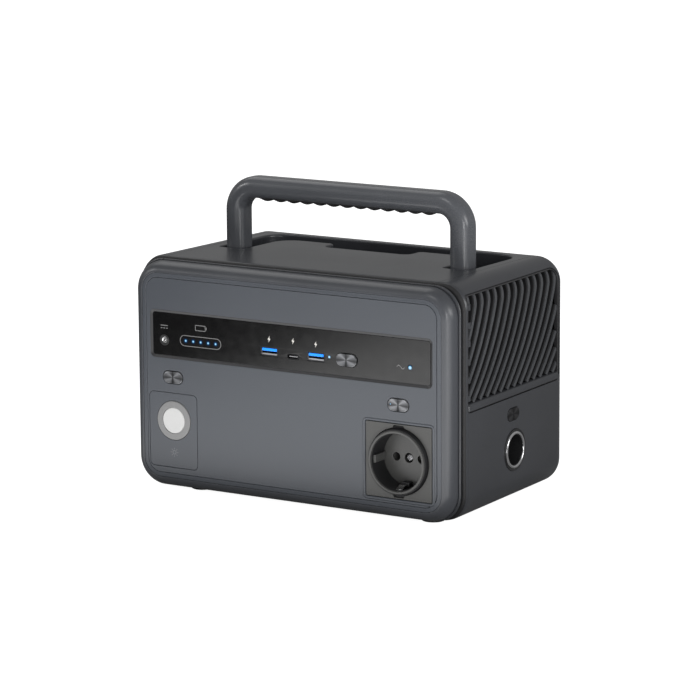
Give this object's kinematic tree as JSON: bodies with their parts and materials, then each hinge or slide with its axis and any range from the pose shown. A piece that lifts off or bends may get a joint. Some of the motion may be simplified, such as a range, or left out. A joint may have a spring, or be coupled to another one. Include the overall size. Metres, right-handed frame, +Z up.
{
  "type": "portable power station",
  "caption": "Portable power station: boxy charcoal case with folding carry handle, mains outlet, charging ports, car socket, lamp, side vents and rubber feet.",
  "frame": {"origin": "on the surface the feet stand on, under the middle of the case", "axes": "+X towards the right side seen from the front, -Y towards the front with the outlet and the ports, +Z up"},
  "size_m": [0.2565, 0.1592, 0.2088],
  "materials": {
    "shell": "satin",
    "plate": "satin",
    "window": "gloss",
    "rubber": "matt",
    "button": "sunburst brushed",
    "black": "matt",
    "socket": "satin",
    "chrome": "polished",
    "steel": "satin",
    "brass": "satin",
    "aluminium": "satin",
    "blue": "gloss",
    "ring": "satin",
    "lens": "frosted",
    "board": "satin",
    "cell": "satin",
    "indicator": "gloss"
  },
  "bodies": {
    "case": {"ac_indicator_lens": "indicator", "battery_cell_1": "cell", "battery_cell_2": "cell", "battery_cell_3": "cell", "battery_cell_4": "cell", "battery_tray": "black", "bms_board": "board", "bottom_cover": "shell", "car_socket_barrel": "chrome", "car_socket_collar": "black", "car_socket_contact": "brass", "charge_light_guide": "indicator", "dc_jack": "black", "dc_jack_pin": "steel", "display_window": "window", "earth_clip_bottom": "brass", "earth_clip_top": "brass", "face_plate": "plate", "fan_frame": "black", "foot_front_left": "rubber", "foot_front_right": "rubber", "foot_rear_left": "rubber", "foot_rear_right": "rubber", "front_cover": "shell", "inverter_board": "board", "inverter_heatsink": "aluminium", "inverter_transformer": "steel", "lamp_board": "board", "lamp_lens": "lens", "lamp_ring": "ring", "left_shell": "shell", "pivot_pin_left": "steel", "pivot_pin_right": "steel", "rear_cover": "shell", "rear_screw_1": "steel", "rear_screw_2": "steel", "rear_screw_3": "steel", "rear_screw_4": "steel", "right_shell": "shell", "socket_faceplate": "socket", "socket_insert": "socket", "socket_screw": "chrome", "top_cover": "shell", "usb_a_shell_left": "steel", "usb_a_shell_right": "steel", "usb_a_tongue_left": "blue", "usb_a_tongue_right": "blue", "usb_board": "board", "usb_c_shell": "steel", "usb_c_tongue": "black", "usb_indicator_lens": "indicator", "vent_grille_left": "shell", "vent_grille_right": "shell"},
    "carry_handle": {"handle": "shell", "handle_grip": "rubber"},
    "light_switch": {"light_button": "button"},
    "usb_switch": {"usb_button": "button"},
    "ac_switch": {"ac_button": "button"},
    "car_switch": {"car_button": "button"},
    "fan": {"fan_rotor": "black"}
  },
  "joints": [
    {"name": "handle_fold", "type": "hinge", "parent": "case", "child": "carry_handle", "pos_m": [0, 0.002, 0.1485], "axis": [-1, 0, 0], "range_deg": [0, 90]},
    {"name": "light_press", "type": "slide", "parent": "case", "child": "light_switch", "axis": [0, 1, 0], "range_m": [0, 0.001], "stiffness_N_per_m": 500},
    {"name": "usb_press", "type": "slide", "parent": "case", "child": "usb_switch", "axis": [0, 1, 0], "range_m": [0, 0.001], "stiffness_N_per_m": 500},
    {"name": "ac_press", "type": "slide", "parent": "case", "child": "ac_switch", "axis": [0, 1, 0], "range_m": [0, 0.001], "stiffness_N_per_m": 500},
    {"name": "car_press", "type": "slide", "parent": "case", "child": "car_switch", "axis": [-1, 0, 0], "range_m": [0, 0.001], "stiffness_N_per_m": 500},
    {"name": "fan_spin", "type": "hinge", "parent": "case", "child": "fan", "pos_m": [-0.111, -0.006, 0.106], "axis": [1, 0, 0], "continuous": true}
  ]
}
